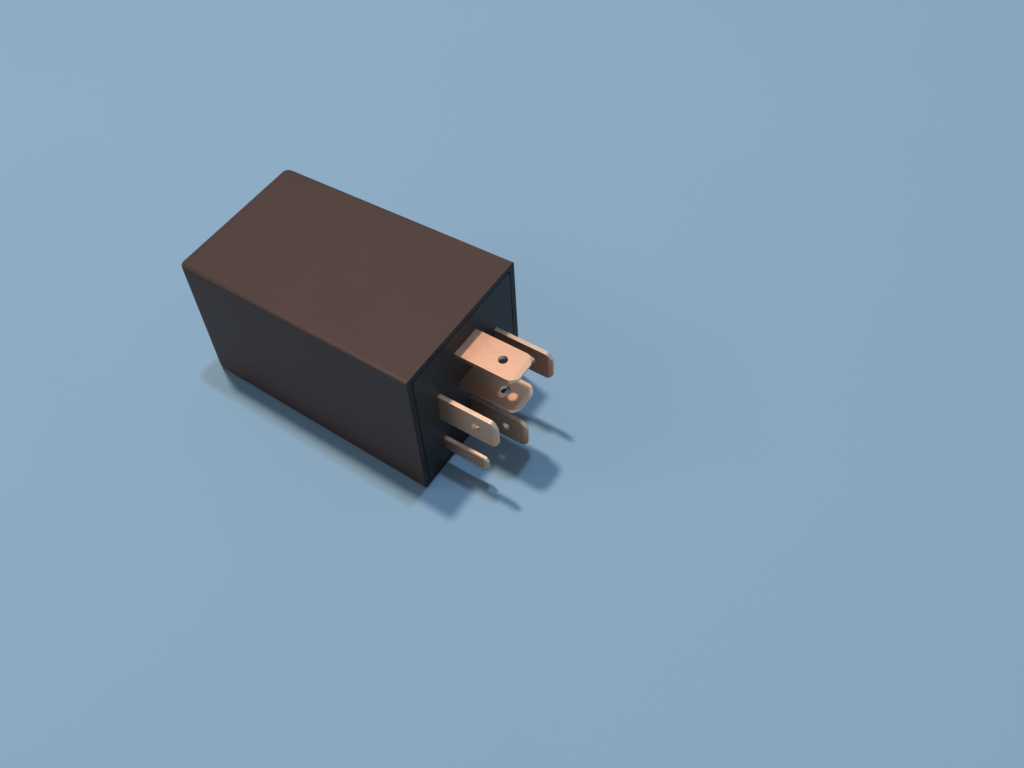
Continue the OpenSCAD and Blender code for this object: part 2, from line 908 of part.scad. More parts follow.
module resistor_places()
    for (k = [0:resistor_count - 1])
        on_board([resistor_x - k * resistor_step, 0])
            rotate(90)
                children();

// A hole through the board for a lead, centred on the board's thickness
module drilled(x, y, d)
    translate([x, y, -board_t / 2])
        cylinder(d = d, h = board_t + 2 * over, center = true, $fn = thin_fn);

// Two holes, a pitch apart along X
module pair_of_holes(pitch)
    for (s = [-1, 1])
        drilled(s * pitch / 2, 0, drill_d);

module circuit_board()
    color([0.16, 0.36, 0.22])
        difference() {
            along_y(board_y0, board_y1)
                patch([board_x1, -board_h / 2], [board_x0, board_h / 2]);
            for (tail = [tail_85, tail_signal])
                along_y(board_y0 - over, board_y1 + over)
                    patch([tab_x - sheet_t - board_play, tail[0] - tail[1] / 2 - board_play],
                          [tab_x + board_play, tail[0] + tail[1] / 2 + board_play]);
            for (x = [pin_x, link_x])
                on_board([x, pin_z])
                    drilled(0, 0, pin_d + 2 * pin_gap);
            resistor_places()
                pair_of_holes(resistor_pitch);
            on_board(power_at)
                pair_of_holes(power_pitch);
            on_board(zener_at)
                pair_of_holes(zener_pitch);
            on_board(diode_at)
                rotate(90)
                    pair_of_holes(resistor_pitch);
            on_board(can_at)
                pair_of_holes(can_pitch);
            on_board(film_at)
                pair_of_holes(film_pitch);
            for (at = disc_at)
                on_board(at)
                    rotate(90)
                        pair_of_holes(disc_pitch);
            on_board(transistor_at)
                for (k = [-1:1])
                    drilled(0, k * transistor_pitch, drill_d);
            on_board(chip_at)
                for (k = [0:3])
                    translate([(k - 1.5) * chip_pitch, 0, 0])
                        rotate(90)
                            pair_of_holes(chip_row);
        }

// One of the chip's legs: out from its side, then down through the board
module chip_leg(side) {
    reach = (chip_row - chip_size[1]) / 2 + chip_leg_t / 2;
    along_x(-chip_leg_w / 2, chip_leg_w / 2)
        patch([side * (-reach - lap), chip_leg_z], [side * chip_leg_t / 2, chip_leg_z + chip_leg_t]);
    along_x(-chip_tip_w / 2, chip_tip_w / 2)
        patch([-chip_leg_t / 2, lead_y - board_y1], [chip_leg_t / 2, chip_leg_z + chip_leg_t / 2]);
}

module timer_chip()
    color([0.13, 0.13, 0.14])
        on_board(chip_at) {
            difference() {
                along_z(rest_h, rest_h + chip_size[2])
                    square([chip_size[0], chip_size[1]], center = true);
                translate([chip_size[0] / 2, 0, rest_h + chip_size[2] - chip_mark_deep])
                    cylinder(d = chip_mark_d, h = over);
            }
            for (k = [0:3], side = [-1, 1])
                translate([(k - 1.5) * chip_pitch, side * chip_row / 2, 0])
                    chip_leg(side);
        }

// A round can, crimped over its rubber bung near the board and dished at its other end
module smoothing_capacitor()
    color([0.12, 0.16, 0.30])
        on_board(can_at) {
            r = can_d / 2;
            translate([0, 0, rest_h])
                rotate_extrude()
                    polygon([[0, 0], [r - can_edge, 0], [r, can_edge], [r, crimp_z - crimp_w],
                             [r - crimp_deep, crimp_z], [r, crimp_z + crimp_w],
                             [r, can_h - can_rim], [r - can_rim, can_h], [r - 2 * can_rim, can_h],
                             [r - 2 * can_rim - can_dish, can_h - can_dish],
                             [0, can_h - can_dish]]);
            for (s = [-1, 1])
                lead(s * can_pitch / 2, 0, rest_h + lead_in);
        }

module timing_capacitor()
    color([0.72, 0.14, 0.10])
        on_board(film_at) {
            along_z(rest_h, rest_h + film_size[2])
                square([film_size[0], film_size[1]], center = true);
            for (s = [-1, 1])
                lead(s * film_pitch / 2, 0, rest_h + lead_in);
        }

module ceramic_capacitors()
    color([0.76, 0.48, 0.20])
        for (at = disc_at)
            on_board(at)
                rotate(90) {
                    translate([0, 0, disc_z])
                        rotate([90, 0, 0])
                            rotate_extrude()
                                polygon([[0, -disc_t / 2], [disc_flat / 2, -disc_t / 2],
                                         [disc_d / 2, -disc_edge / 2], [disc_d / 2, disc_edge / 2],
                                         [disc_flat / 2, disc_t / 2], [0, disc_t / 2]]);
                    for (s = [-1, 1])
                        lead(s * disc_pitch / 2, 0, disc_z - over);
                }

module small_resistors()
    color([0.76, 0.66, 0.50])
        resistor_places()
            axial(small_body, resistor_pitch);

module supply_resistor()
    color([0.42, 0.50, 0.56])
        on_board(power_at)
            axial(power_body, power_pitch);

module flyback_diode()
    color([0.11, 0.11, 0.12])
        on_board(diode_at)
            rotate(90)
                axial(diode_body, resistor_pitch);

module zener_diode()
    color([0.72, 0.34, 0.18])
        on_board(zener_at)
            axial(zener_body, zener_pitch);

// A round case with one side cut flat
module driver_transistor()
    color([0.12, 0.12, 0.13])
        on_board(transistor_at) {
            along_z(transistor_z, transistor_z + transistor_h)
                intersection() {
                    circle(d = transistor_d);
                    patch([transistor_flat, -transistor_d], [transistor_d, transistor_d]);
                }
            for (k = [-1:1])
                lead(0, k * transistor_pitch, transistor_z + lead_in);
        }

module supply_link()
    color(lead_wire)
        translate([link_x, y_86 + sheet_t / 2 + pin_out, pin_z])
            rotate([90, 0, 0])
                cylinder(d = pin_d, h = y_86 + sheet_t / 2 + pin_out - lead_y);

cover();
base();
terminal_30();
terminal_85();
terminal_86();
terminal_87();
terminal_87a();
signal_terminal();
yoke();
core();
bobbin();
coil_winding();
coil_supply_pin();
coil_switched_pin();
armature();
contact_spring();
moving_contact();
normally_open_contact();
normally_closed_contact();
supply_link();
circuit_board();
timer_chip();
smoothing_capacitor();
timing_capacitor();
ceramic_capacitors();
small_resistors();
supply_resistor();
flyback_diode();
zener_diode();
driver_transistor();
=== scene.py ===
"""Plug-in automotive relay: the finish of every piece, and the detail finer than the solids."""
import math

import bmesh
import bpy
import numpy as np
from mathutils import Matrix, Vector


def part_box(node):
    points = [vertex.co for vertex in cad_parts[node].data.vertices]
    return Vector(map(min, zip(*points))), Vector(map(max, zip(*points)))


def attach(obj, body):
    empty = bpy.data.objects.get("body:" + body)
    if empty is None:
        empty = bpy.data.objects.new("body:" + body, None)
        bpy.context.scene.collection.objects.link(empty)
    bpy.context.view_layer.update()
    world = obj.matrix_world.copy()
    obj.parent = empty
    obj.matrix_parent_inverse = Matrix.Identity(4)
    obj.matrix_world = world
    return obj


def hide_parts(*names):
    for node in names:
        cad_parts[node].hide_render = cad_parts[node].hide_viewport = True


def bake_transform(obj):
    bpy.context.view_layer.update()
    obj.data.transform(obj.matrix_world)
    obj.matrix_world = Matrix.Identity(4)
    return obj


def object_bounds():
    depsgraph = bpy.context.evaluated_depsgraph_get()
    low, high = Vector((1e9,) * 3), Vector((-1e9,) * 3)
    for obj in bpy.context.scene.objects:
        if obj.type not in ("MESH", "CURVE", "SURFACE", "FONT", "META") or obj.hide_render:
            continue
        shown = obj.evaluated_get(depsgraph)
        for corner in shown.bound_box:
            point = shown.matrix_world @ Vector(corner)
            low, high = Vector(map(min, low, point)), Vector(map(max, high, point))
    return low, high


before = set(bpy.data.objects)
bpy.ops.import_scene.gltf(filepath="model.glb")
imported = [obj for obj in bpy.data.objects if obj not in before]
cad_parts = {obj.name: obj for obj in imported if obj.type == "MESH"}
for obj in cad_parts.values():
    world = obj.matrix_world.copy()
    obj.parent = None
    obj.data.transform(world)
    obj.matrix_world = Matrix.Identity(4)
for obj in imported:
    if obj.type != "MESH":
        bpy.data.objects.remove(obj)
cad_low, cad_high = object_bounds()
MM = 0.001

# ---------------------------------------------------------------------------
# Table, lamps and camera. The relay lies on one of its four long sides. That
# side is drafted, so the table is tilted by the draft and meets it all over.
DRAFT = math.radians(0.85)
TABLE_SIDE = 4.0
TABLE_GAP = 0.01 * MM
TABLE_COLOUR = (0.28, 0.46, 0.64, 1)
WORLD_LIGHT = (0.90, 0.94, 1.0, 1)
WORLD_STRENGTH = 0.17
BACKDROP = (0.30, 0.46, 0.60, 1)

table_mesh = bpy.data.meshes.new("table")
half = TABLE_SIDE / 2
table_mesh.from_pydata(
    [(-half, -half, 0), (half, -half, 0), (half, half, 0), (-half, half, 0)], [], [(0, 1, 2, 3)]
)
table_mesh.transform(
    Matrix.Translation((0, 0, cad_low.z - TABLE_GAP)) @ Matrix.Rotation(DRAFT, 4, "Y")
)
table = bpy.data.objects.new("table", table_mesh)
bpy.context.collection.objects.link(table)


class Wire:
    """A shader socket that adds and multiplies as a number does.

    Each operator adds one Math node. node() adds any other node to the same material.
    """

    def __init__(self, tree, socket=None):
        self.tree = tree
        self.socket = socket

    def node(self, kind, settings=None, inputs=None, output=0):
        """Adds a node: its settings are set first, then its sockets get values or links."""
        made = self.tree.nodes.new(kind)
        for name, value in (settings or {}).items():
            setattr(made, name, value)
        for key, value in (inputs or {}).items():
            if isinstance(value, Wire):
                self.tree.links.new(value.socket, made.inputs[key])
            else:
                made.inputs[key].default_value = value
        return Wire(self.tree, made.outputs[output])

    def math(self, operation, *values):
        """One Math node on up to three values, its operation given by name."""
        return self.node("ShaderNodeMath", {"operation": operation}, dict(enumerate(values)))

    def __add__(self, other):
        return self.math("ADD", self, other)

    def __radd__(self, other):
        return self.math("ADD", other, self)

    def __sub__(self, other):
        return self.math("SUBTRACT", self, other)

    def __rsub__(self, other):
        return self.math("SUBTRACT", other, self)

    def __mul__(self, other):
        return self.math("MULTIPLY", self, other)

    def __rmul__(self, other):
        return self.math("MULTIPLY", other, self)

    def __abs__(self):
        return self.math("ABSOLUTE", self)


def new_finish(name):
    """An empty material, and the wire that its nodes are made from."""
    material = bpy.data.materials.new(name)
    material.use_nodes = True
    material.node_tree.nodes.clear()
    return material, Wire(material.node_tree)


def close_finish(start, sockets):
    """The Principled shader with those sockets, and the output that ends the material."""
    shader = start.node("ShaderNodeBsdfPrincipled", None, sockets)
    end = start.tree.nodes.new("ShaderNodeOutputMaterial")
    start.tree.links.new(shader.socket, end.inputs["Surface"])


def noise(start, place, size, detail=2.0):
    """Smooth noise from 0 to 1 whose lumps are about size metres across."""
    return start.node(
        "ShaderNodeTexNoise", None, {"Vector": place, "Scale": 1 / size, "Detail": detail}
    )


def mixed(start, share, first, second):
    """The first colour where share is 0, and the second where it is 1."""
    return start.node(
        "ShaderNodeMix", {"data_type": "RGBA"}, {0: share, 6: first, 7: second}, output=2
    )


def own_place(start):
    """A point's place in the piece's own frame, in metres."""
    return start.node("ShaderNodeTexCoord", output=3)


def table_finish():
    """A plain matt sheet, with the faintest cloudiness."""
    material, start = new_finish("table_sheet")
    cloud = noise(start, own_place(start), 60 * MM)
    paler = tuple(c * 1.05 for c in TABLE_COLOUR[:3]) + (1,)
    close_finish(
        start, {"Base Color": mixed(start, cloud, TABLE_COLOUR, paler), "Roughness": 0.85}
    )
    return material


table_mesh.materials.append(table_finish())


def lamp(name, toward, distance, size, share, colour):
    """A round area lamp that lights a surface facing it to that share of its own colour.

    Its power is share x pi squared x distance squared, so that distance and size can change
    without changing how bright the relay is.
    """
    data = bpy.data.lights.new(name, "AREA")
    data.shape = "DISK"
    data.size = size
    data.energy = share * math.pi**2 * distance**2
    data.color = colour
    lit = bpy.data.objects.new(name, data)
    direction = Vector(toward).normalized()
    lit.location = direction * distance
    lit.rotation_euler = direction.to_track_quat("Z", "Y").to_euler()
    bpy.context.collection.objects.link(lit)


lamp("warm_lamp", (-0.24, 0.075, 1.0), 0.9, 0.06, 0.56, (1.0, 0.84, 0.68))
lamp("cool_lamp", (0.0, 0.127, 1.0), 0.9, 0.045, 0.24, (0.60, 0.78, 1.0))
lamp("side_softbox", (-0.75, -0.65, 0.75), 0.9, 0.35, 0.08, (1.0, 0.97, 0.94))

world = bpy.data.worlds.new("studio")
world.use_nodes = True
world.node_tree.nodes.clear()
sky = Wire(world.node_tree)
camera_ray, glossy_ray, transmission_ray = (
    sky.node("ShaderNodeLightPath", output=name)
    for name in ("Is Camera Ray", "Is Glossy Ray", "Is Transmission Ray")
)
seen = sky.math("MAXIMUM", sky.math("MAXIMUM", camera_ray, glossy_ray), transmission_ray)
lit_sky = sky.node(
    "ShaderNodeBackground", None, {"Color": WORLD_LIGHT, "Strength": WORLD_STRENGTH}
)
seen_sky = sky.node("ShaderNodeBackground", None, {"Color": BACKDROP, "Strength": 1.0})
sky_mix = sky.node("ShaderNodeMixShader", None, {0: seen, 1: lit_sky, 2: seen_sky})
world_end = world.node_tree.nodes.new("ShaderNodeOutputWorld")
world.node_tree.links.new(sky_mix.socket, world_end.inputs["Surface"])
bpy.context.scene.world = world
bpy.context.scene.view_settings.view_transform = "Standard"

CAMERA_AT = (0.0761, -0.0904, 0.1509)
CAMERA_AZIMUTH, CAMERA_ELEVATION, CAMERA_ROLL = 36.56, 52.47, -4.03
CAMERA_LENS, CAMERA_SENSOR, CAMERA_NEAR = 39.33, 36, 0.01
camera_data = bpy.data.cameras.new("camera")
camera_data.lens = CAMERA_LENS
camera_data.sensor_width = CAMERA_SENSOR
camera_data.clip_start = CAMERA_NEAR
camera = bpy.data.objects.new("camera", camera_data)
camera.matrix_world = (
    Matrix.Translation(CAMERA_AT)
    @ Matrix.Rotation(math.radians(CAMERA_AZIMUTH), 4, "Z")
    @ Matrix.Rotation(math.radians(90 - CAMERA_ELEVATION), 4, "X")
    @ Matrix.Rotation(math.radians(CAMERA_ROLL), 4, "Z")
)
bpy.context.collection.objects.link(camera)
bpy.context.scene.camera = camera

# ---------------------------------------------------------------------------
# Base: the black moulded plate that the blades stand in. It is moulded from
# glass-filled nylon in a tool with an eroded, slightly rougher face.
BASE_BLACK = (0.016, 0.014, 0.015, 1)
BASE_GREY = (0.024, 0.022, 0.023, 1)


def split(start, vector):
    """The three parts of a vector, each as a wire of its own."""
    return [
        start.node("ShaderNodeSeparateXYZ", None, {"Vector": vector}, output=k) for k in range(3)
    ]


def ramped(start, value, low, high):
    """0 where the value is at low or beyond, 1 where it is at high or beyond."""
    return start.node(
        "ShaderNodeMapRange", None, {"Value": value, "From Min": low, "From Max": high}
    )


def bumped(start, height, depth, strength=0.5):
    """A normal that follows the height, where 1 stands depth metres above 0."""
    return start.node(
        "ShaderNodeBump", None, {"Strength": strength, "Distance": depth, "Height": height}
    )


def base_finish():
    """Black nylon: a little uneven in colour and gloss, with a fine eroded grain."""
    material, start = new_finish("base_nylon")
    place = own_place(start)
    cloud = noise(start, place, 4 * MM)
    grain = noise(start, place, 0.22 * MM, 3.0)
    close_finish(
        start,
        {
            "Base Color": mixed(start, cloud, BASE_BLACK, BASE_GREY),
            "Roughness": 0.45 + cloud * 0.12,
            "Specular IOR Level": 0.35,
            "Normal": bumped(start, grain, 0.02 * MM, 0.6),
        },
    )
    return material


def dress(finish, *nodes):
    """Gives solids from the frame their finish."""
    for node in nodes:
        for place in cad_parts[node].material_slots:
            place.material = finish


dress(base_finish(), "base")

# ---------------------------------------------------------------------------
# Terminals: stamped from 0.8 mm copper alloy strip. The faces are rolled and
# dulled by handling. The sheared edges are cleaner, and their paler colour is partly that clean
# metal and partly a painted highlight.
STRIP = (0.84, 0.45, 0.28, 1)
STRIP_DARK = (0.70, 0.37, 0.24, 1)
# paler copper for the sheared edges: partly clean sheared metal, partly painted highlight
SHEARED_AND_HIGHLIGHT = (0.92, 0.58, 0.39, 1)
TARNISH = (0.40, 0.24, 0.18, 1)
UPRIGHT, FLAT = 1, 2


def along(start, place, scales):
    """The place stretched along each axis, so that noise on it draws out into lines."""
    return start.node(
        "ShaderNodeMapping", {"vector_type": "TEXTURE"}, {"Vector": place, "Scale": scales}
    )


def strip_finish(name, flat_axis):
    """Rolled strip whose faces look along flat_axis; every other face is a sheared edge."""
    material, start = new_finish(name)
    place = own_place(start)
    facing = split(start, start.node("ShaderNodeNewGeometry", output="Normal"))[flat_axis]
    edge = start.math("LESS_THAN", abs(facing), 0.85)
    mottle = noise(start, place, 1.3 * MM, 4.0)
    rolled = noise(start, along(start, place, (40, 1, 1)), 0.09 * MM, 2.0)
    spot = ramped(start, noise(start, place, 0.35 * MM, 1.0), 0.66, 0.78)
    face = mixed(start, mottle * 0.75 + rolled * 0.25, STRIP, STRIP_DARK)
    face = mixed(start, spot * 0.5, face, TARNISH)
    close_finish(
        start,
        {
            # the sheared edges get the paler colour: part clean metal, part painted highlight
            "Base Color": mixed(start, edge, face, SHEARED_AND_HIGHLIGHT),
            "Metallic": 1.0,
            "Roughness": 0.32 + mottle * 0.14 + rolled * 0.06 - edge * 0.06,
            "Normal": bumped(start, rolled * 0.5 + mottle * 0.5, 0.012 * MM, 0.35),
        },
    )
    return material


dress(
    strip_finish("strip_upright", UPRIGHT),
    "terminal_30", "terminal_85", "terminal_86", "signal_terminal",
)
dress(strip_finish("strip_flat", FLAT), "terminal_87", "terminal_87a")

# ---------------------------------------------------------------------------
# Magnet iron: yoke and armature are blanked from soft steel sheet and the core
# is turned, then all three are zinc plated. The plating is dull and clouded.
ZINC = (0.60, 0.61, 0.62, 1)
ZINC_DARK = (0.44, 0.45, 0.46, 1)
ZINC_YELLOW = (0.62, 0.58, 0.46, 1)


def plated_finish(name, grain_scales):
    """Dull zinc: clouded, faintly yellow in patches, with the steel's grain drawn out."""
    material, start = new_finish(name)
    place = own_place(start)
    cloud = noise(start, place, 2.5 * MM, 4.0)
    patch = ramped(start, noise(start, place, 5 * MM, 2.0), 0.52, 0.70)
    grain = noise(start, along(start, place, grain_scales), 0.08 * MM, 2.0)
    colour = mixed(start, cloud * 0.6 + grain * 0.4, ZINC, ZINC_DARK)
    close_finish(
        start,
        {
            "Base Color": mixed(start, patch * 0.5, colour, ZINC_YELLOW),
            "Metallic": 1.0,
            "Roughness": 0.34 + cloud * 0.2,
            "Normal": bumped(start, grain, 0.01 * MM, 0.4),
        },
    )
    return material


def turned_finish():
    """Zinc over fine turning marks: height is a sine of the distance from the core's axis."""
    material, start = new_finish("core_turned")
    place = own_place(start)
    low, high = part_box("core")
    y, z = split(start, place)[1:]
    up = z - (low.z + high.z) / 2
    radius = start.math("SQRT", y * y + up * up)
    marks = start.math("SINE", radius * (2 * math.pi / (0.22 * MM)))
    cloud = noise(start, place, 1.5 * MM, 3.0)
    close_finish(
        start,
        {
            "Base Color": mixed(start, cloud, ZINC, ZINC_DARK),
            "Metallic": 1.0,
            "Roughness": 0.26 + cloud * 0.14,
            "Normal": bumped(start, marks, 0.01 * MM, 0.5),
        },
    )
    return material


dress(plated_finish("yoke_zinc", (30, 1, 1)), "yoke")
dress(plated_finish("armature_zinc", (1, 1, 30)), "armature")
dress(turned_finish(), "core")

# ---------------------------------------------------------------------------
# Bobbin: moulded in natural glass-filled nylon, ivory and slightly cloudy,
# with the short glass fibres showing as faint pale streaks.
NYLON = (0.78, 0.72, 0.58, 1)
NYLON_PALE = (0.86, 0.82, 0.71, 1)


def bobbin_finish():
    """Ivory nylon: clouds at 3 mm and glass streaks at 0.2 mm."""
    material, start = new_finish("bobbin_nylon")
    place = own_place(start)
    cloud = noise(start, place, 3 * MM, 3.0)
    streak = ramped(start, noise(start, along(start, place, (4, 1, 1)), 0.2 * MM), 0.55, 0.75)
    close_finish(
        start,
        {
            "Base Color": mixed(start, cloud * 0.6 + streak * 0.4, NYLON, NYLON_PALE),
            "Roughness": 0.42 + streak * 0.12,
            "Normal": bumped(start, streak, 0.01 * MM, 0.3),
        },
    )
    return material


dress(bobbin_finish(), "bobbin")

# ---------------------------------------------------------------------------
# Winding: enamelled copper wire laid turn by turn on the bobbin. Its two ends
# leave the last layer at the base end, and each is wrapped on its coil pin.
COPPER = (0.52, 0.19, 0.07, 1)
COPPER_PALE = (0.66, 0.27, 0.11, 1)
WIRE_D = 0.25 * MM
TURN_PITCH = 0.27 * MM
WINDING_GAP = 0.05 * MM
FLANGE_T = 1.0 * MM
WINDING_R = 6.3 * MM
BARREL_R = 3.65 * MM
STEPS_PER_TURN = 48
WIRE_STEPS = 6
END_ANGLE = math.radians(43)
END_DEEP = 0.4 * MM
WRAP_TURNS = 3
WRAP_STEPS = 24
WRAP_OUT = 0.55 * MM
WIRE_START_IN = 0.3 * MM
WIRE_CORNER_DOWN = 1.0 * MM


def grid(points, turned=False):
    """Vertices and faces of a surface given as a grid of points, rows x columns x 3.

    turned joins the last column to the first, for a surface that goes all the way round.
    """
    rows, columns = points.shape[:2]
    number = np.arange(rows * columns).reshape(rows, columns)
    if turned:
        number = np.hstack([number, number[:, :1]])
    faces = np.stack(
        [number[:-1, :-1], number[:-1, 1:], number[1:, 1:], number[1:, :-1]], axis=-1
    )
    return points.reshape(-1, 3), faces.reshape(-1, 4)


def piece(name, surfaces, finish, body):
    """One object from several grids: doubles are merged, and it rides on its body."""
    vertices, faces, count = [], [], 0
    for points, corners in surfaces:
        vertices.append(points)
        faces.append(corners + count)
        count += len(points)
    mesh = bpy.data.meshes.new(name)
    mesh.from_pydata(np.vstack(vertices).tolist(), [], np.vstack(faces).tolist())
    shape = bmesh.new()
    shape.from_mesh(mesh)
    bmesh.ops.remove_doubles(shape, verts=shape.verts, dist=0.001 * MM)
    bmesh.ops.recalc_face_normals(shape, faces=shape.faces)
    shape.to_mesh(mesh)
    shape.free()
    mesh.shade_smooth()
    mesh.materials.append(finish)
    made = bpy.data.objects.new(name, mesh)
    bpy.context.collection.objects.link(made)
    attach(made, body)
    return made


def revolved(centre, profile, axis, steps):
    """A profile of (distance along, radius) pairs turned about an axis through the centre.

    The point is centre + along * axis + radius * (cos a, sin a) in the two axes across it.
    """
    along_axis, radius = np.array(profile, float).T
    angle = np.linspace(0, 2 * math.pi, steps, endpoint=False)
    points = np.zeros((len(profile), steps, 3))
    points[..., axis] = along_axis[:, None]
    points[..., (axis + 1) % 3] = radius[:, None] * np.cos(angle)
    points[..., (axis + 2) % 3] = radius[:, None] * np.sin(angle)
    return points + np.array(centre, float)


def tube(path, radius, across, sides=8):
    """A round wire along a path: each ring stands square to the path.

    One side of the ring is path direction x across, and the other is square to both. The
    ends are closed by rings of no radius.
    """
    direction = np.gradient(path, axis=0)
    direction /= np.linalg.norm(direction, axis=1, keepdims=True)
    first = np.cross(direction, np.array(across, float))
    first /= np.linalg.norm(first, axis=1, keepdims=True)
    second = np.cross(direction, first)
    angle = np.linspace(0, 2 * math.pi, sides, endpoint=False)[None, :, None]
    ring = radius * (np.cos(angle) * first[:, None] + np.sin(angle) * second[:, None])
    points = path[:, None] + ring
    start, end = (np.repeat(path[k][None, None], sides, axis=1) for k in (0, -1))
    return np.concatenate([start, points, end])


def eased(corners, rounds=3):
    """A path through corner points, whose corners are cut by a quarter again and again."""
    path = np.array(corners, float)
    for _ in range(rounds):
        before, after = path[:-1], path[1:]
        cuts = np.stack([0.75 * before + 0.25 * after, 0.25 * before + 0.75 * after], axis=1)
        path = np.vstack([path[:1], cuts.reshape(-1, 3), path[-1:]])
    return path


def copper_finish():
    """Copper under clear enamel: coated metal, a little uneven from turn to turn."""
    material, start = new_finish("enamelled_copper")
    place = own_place(start)
    turns = noise(start, along(start, place, (0.15, 1, 1)), 1.2 * MM, 2.0)
    close_finish(
        start,
        {
            "Base Color": mixed(start, turns, COPPER, COPPER_PALE),
            "Metallic": 0.85,
            "Roughness": 0.28 + turns * 0.1,
            "Coat Weight": 0.6,
        },
    )
    return material


def turns_surface(x0, x1, axis_z):
    """The wound wire's outer half, as a screw whose turns touch.

    At turn t the half circle's centre stands at x0 + pitch * (t + 1/2) and angle 2 pi t. For
    s from 0 to pi, x = centre - pitch / 2 * cos s, and the radius grows by wire / 2 * sin s.
    """
    turns = int((x1 - x0) / TURN_PITCH) - 1
    turn = np.linspace(0, turns, turns * STEPS_PER_TURN + 1)[:, None]
    s = np.linspace(0, math.pi, WIRE_STEPS + 1)[None, :]
    pitch = (x1 - x0) / (turns + 1)
    x = x0 + pitch * (turn + 0.5) - pitch / 2 * np.cos(s)
    r = WINDING_R - WIRE_D / 2 + WIRE_D / 2 * np.sin(s) + 0 * turn
    angle = 2 * math.pi * turn + 0 * s
    return np.stack([x, r * np.sin(angle), axis_z + r * np.cos(angle)], axis=-1)


def winding():
    """The turns on their solid inner layers, and the two ends wrapped on the coil pins."""
    bobbin_low, bobbin_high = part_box("bobbin")
    core_low, core_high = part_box("core")
    axis_z = (core_low.z + core_high.z) / 2
    x0 = bobbin_low.x + FLANGE_T + WINDING_GAP
    x1 = bobbin_high.x - FLANGE_T - WINDING_GAP
    under = WINDING_R - WIRE_D / 2
    inner = [(x0, BARREL_R), (x0, under), (x1, under), (x1, BARREL_R), (x0, BARREL_R)]
    surfaces = [
        grid(turns_surface(x0, x1, axis_z)),
        grid(revolved((0, 0, axis_z), inner, 0, STEPS_PER_TURN), turned=True),
    ]
    supply_low, supply_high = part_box("coil_supply_pin")
    pin = (supply_low + supply_high) / 2
    pin_r = (supply_high.z - supply_low.z) / 2
    wrap_y = bobbin_high.y + WRAP_OUT
    wire_x = bobbin_high.x - WIRE_START_IN - 2 * FLANGE_T
    reach = WINDING_R - END_DEEP
    wrap_r = pin_r + WIRE_D / 2
    for side in (-1, 1):
        angle = np.linspace(0, 2 * math.pi * WRAP_TURNS, WRAP_TURNS * WRAP_STEPS) - math.pi / 2
        y = side * (wrap_y + WIRE_D * (np.linspace(0, WRAP_TURNS, len(angle)) - WRAP_TURNS / 2))
        wrap = np.stack(
            [pin.x + wrap_r * np.cos(angle), y, pin.z + wrap_r * np.sin(angle)], axis=-1
        )
        lead_in = eased([
            (wire_x, side * reach * math.sin(END_ANGLE), axis_z + reach * math.cos(END_ANGLE)),
            (wire_x, side * wrap_y, pin.z - WIRE_CORNER_DOWN),
            tuple(wrap[0]),
        ])
        path = np.vstack([lead_in[:-1], wrap])
        surfaces.append(grid(tube(path, WIRE_D / 2, (0, 1, 0)), turned=True))
    made = piece("winding_wire", surfaces, copper_finish(), "relay_body")
    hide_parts("coil_winding")


winding()

# ---------------------------------------------------------------------------
# Coil pins and supply link: tinned copper wire, pressed into the bobbin and
# passed through terminal 86's flag and the board.
TINNED = (0.74, 0.74, 0.72, 1)
TINNED_GREY = (0.56, 0.57, 0.57, 1)


def tinned_finish():
    """Bright tin with a dull bloom."""
    material, start = new_finish("tinned_wire")
    bloom = noise(start, own_place(start), 0.7 * MM, 3.0)
    close_finish(
        start,
        {
            "Base Color": mixed(start, bloom, TINNED, TINNED_GREY),
            "Metallic": 1.0,
            "Roughness": 0.24 + bloom * 0.18,
        },
    )
    return material


dress(tinned_finish(), "coil_supply_pin", "coil_switched_pin", "supply_link")

# ---------------------------------------------------------------------------
# Contact spring: one strip of rolled bronze, bent round the hinge. Its foot is
# staked to the yoke and its arm to the armature, so it bends as the relay works.
BRONZE = (0.74, 0.45, 0.24, 1)
BRONZE_DARK = (0.58, 0.34, 0.18, 1)


def bronze_finish():
    """Rolled bronze: fine lines along the strip over a soft mottle."""
    material, start = new_finish("spring_bronze")
    place = own_place(start)
    mottle = noise(start, place, 1.8 * MM, 3.0)
    rolled = noise(start, along(start, place, (1, 0.1, 1)), 0.8 * MM, 2.0)
    close_finish(
        start,
        {
            "Base Color": mixed(start, mottle * 0.6 + rolled * 0.4, BRONZE, BRONZE_DARK),
            "Metallic": 1.0,
            "Roughness": 0.24 + mottle * 0.14,
            "Normal": bumped(start, rolled, 0.008 * MM, 0.3),
        },
    )
    return material


def bending_spring():
    """A merged copy of the spring's solid, given the bronze finish and fixed where it stands; the
    solid from the frame is hidden.
    """
    shape = bmesh.new()
    shape.from_mesh(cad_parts["contact_spring"].data)
    bmesh.ops.remove_doubles(shape, verts=shape.verts, dist=0.0001 * MM)
    mesh = bpy.data.meshes.new("bending_spring")
    shape.to_mesh(mesh)
    shape.free()
    mesh.materials.clear()
    mesh.materials.append(bronze_finish())
    made = bpy.data.objects.new("bending_spring", mesh)
    bpy.context.collection.objects.link(made)
    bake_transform(made)
    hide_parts("contact_spring")


bending_spring()

# ---------------------------------------------------------------------------
# Contacts: silver alloy rivets. One on the spring is domed on both sides, and
# the fixed ones are riveted through the plates of terminals 87 and 87a.
SILVER = (0.86, 0.85, 0.82, 1)
SILVER_DULL = (0.58, 0.56, 0.52, 1)


def silver_finish():
    """Silver alloy, with dull patches of tarnish."""
    material, start = new_finish("contact_silver")
    tarnish = noise(start, own_place(start), 0.9 * MM, 4.0)
    close_finish(
        start,
        {
            "Base Color": mixed(start, ramped(start, tarnish, 0.45, 0.75), SILVER, SILVER_DULL),
            "Metallic": 1.0,
            "Roughness": 0.20 + tarnish * 0.16,
        },
    )
    return material


dress(silver_finish(), "moving_contact", "normally_open_contact", "normally_closed_contact")

